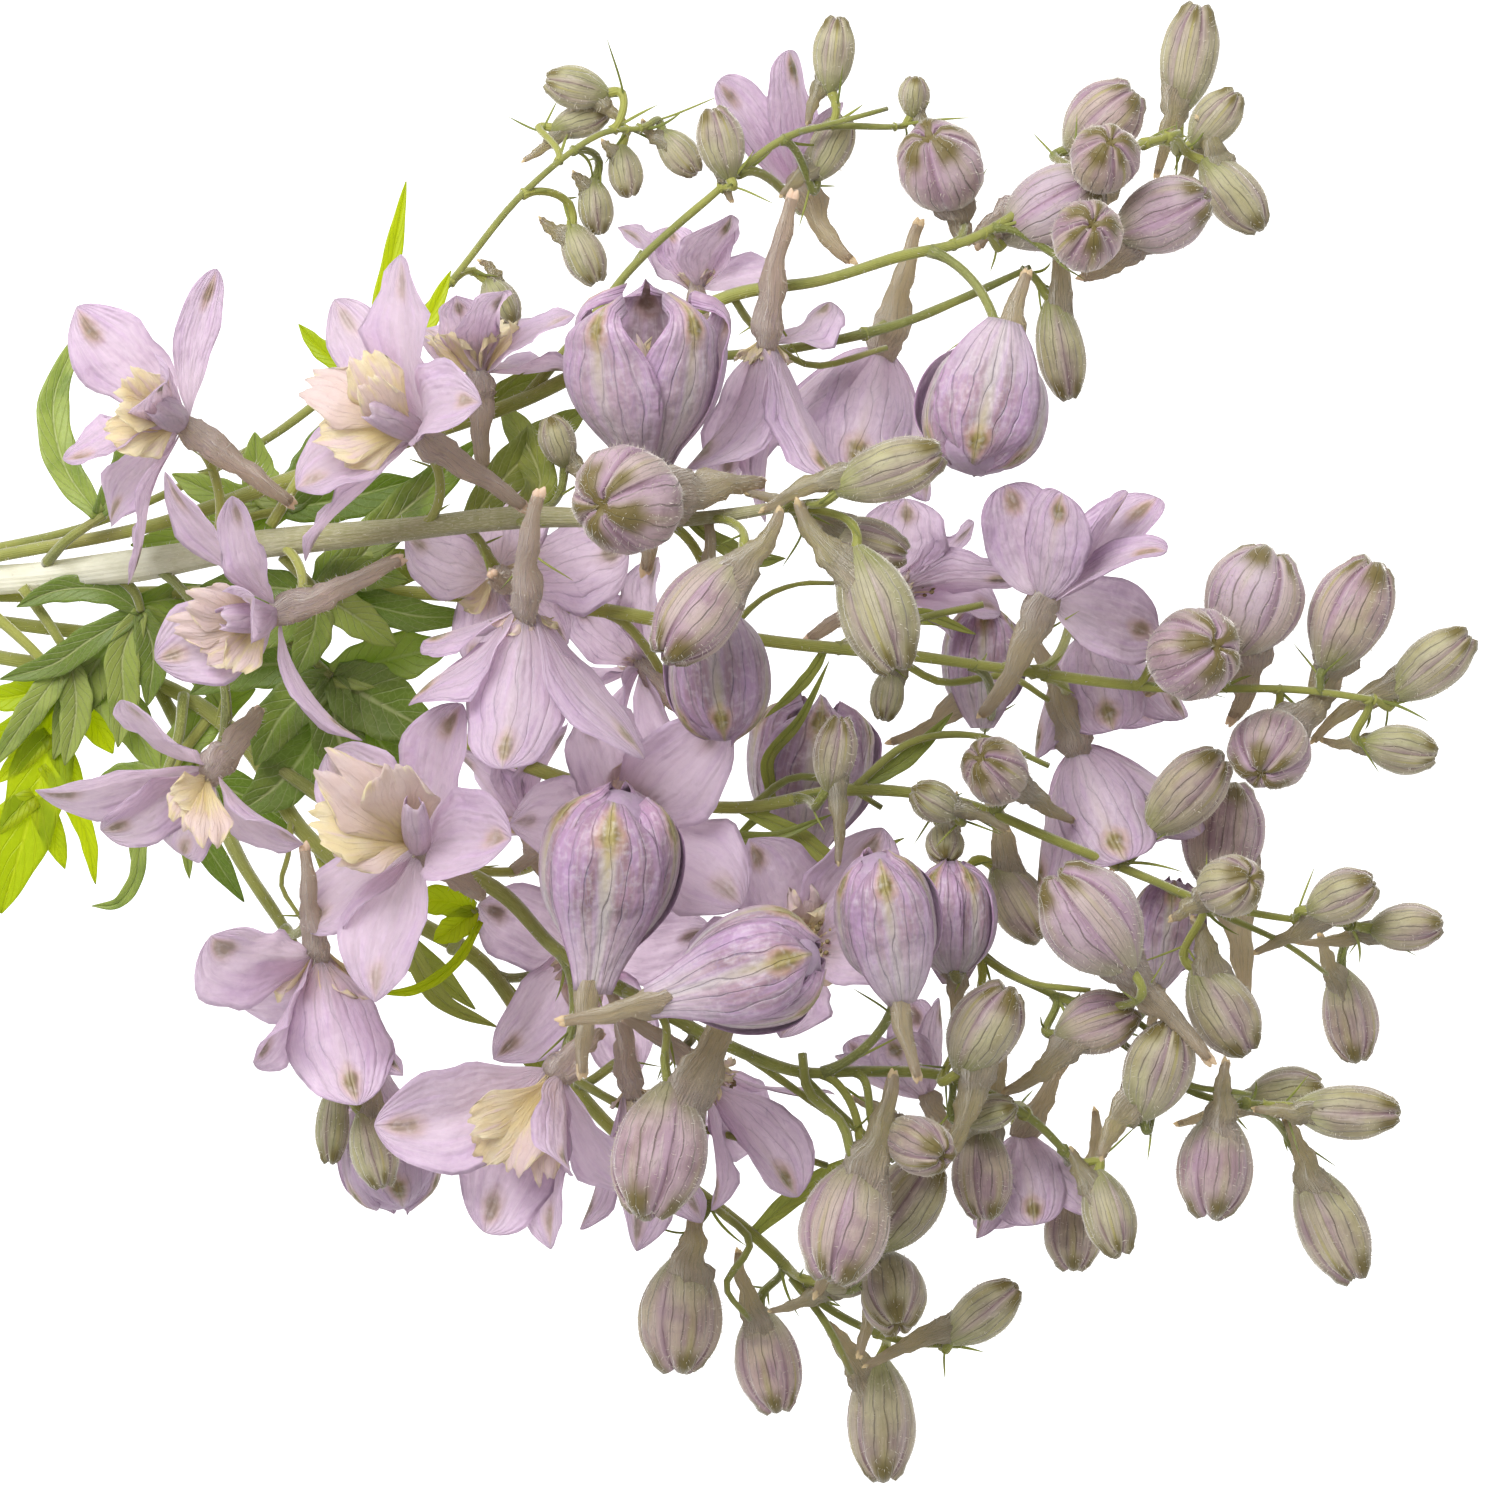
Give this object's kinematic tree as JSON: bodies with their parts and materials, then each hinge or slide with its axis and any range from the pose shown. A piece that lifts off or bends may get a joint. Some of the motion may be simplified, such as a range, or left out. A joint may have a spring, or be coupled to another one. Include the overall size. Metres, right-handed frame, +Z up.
{
  "type": "delphinium flower stem",
  "caption": "Cut stem of a pale lilac delphinium lying on its side, with branching flower spikes, spurred open flowers, buds and narrow cut leaves.",
  "frame": {"origin": "flat underside of the main stem near its cut end, on the surface that the stem lies on", "axes": "+X along the stem from the cut end to the flower tips, +Z up from the surface that it lies on"},
  "size_m": [0.3172, 0.2491, 0.0964],
  "materials": {
    "main_stem": "matt, finely downy",
    "green_stalk": "matt, finely downy",
    "petal": "soft matt, lets light through",
    "leaf": "matt, lets some light through",
    "young_leaf": "matt, lets light through"
  },
  "bodies": {
    "root": {"main_stem": "main_stem", "branch_upper_thin": "green_stalk", "branch_upper": "green_stalk", "branch_level": "green_stalk", "branch_right": "green_stalk", "branch_low": "green_stalk", "flower_01": "petal", "flower_02": "petal", "flower_03": "petal", "flower_04": "petal", "flower_05": "petal", "flower_06": "petal", "flower_07": "petal", "flower_08": "petal", "flower_09": "petal", "flower_10": "petal", "flower_11": "petal", "flower_12": "petal", "flower_13": "petal", "flower_14": "petal", "flower_15": "petal", "flower_16": "petal", "flower_17": "petal", "flower_18": "petal", "flower_19": "petal", "flower_20": "petal", "flower_21": "petal", "flower_22": "petal", "flower_23": "petal", "flower_24": "petal", "flower_25": "petal", "flower_26": "petal", "flower_27": "petal", "flower_28": "petal", "flower_29": "petal", "flower_30": "petal", "flower_31": "petal", "flower_32": "petal", "flower_33": "petal", "flower_34": "petal", "flower_35": "petal", "flower_36": "petal", "flower_37": "petal", "flower_38": "petal", "leaf_01": "leaf", "leaf_02": "young_leaf", "leaf_03": "leaf", "leaf_04": "young_leaf", "leaf_05": "leaf", "leaf_06": "leaf", "leaf_07": "leaf", "leaf_08": "leaf", "leaf_09": "leaf", "leaf_10": "leaf", "leaf_11": "young_leaf"}
  },
  "joints": []
}
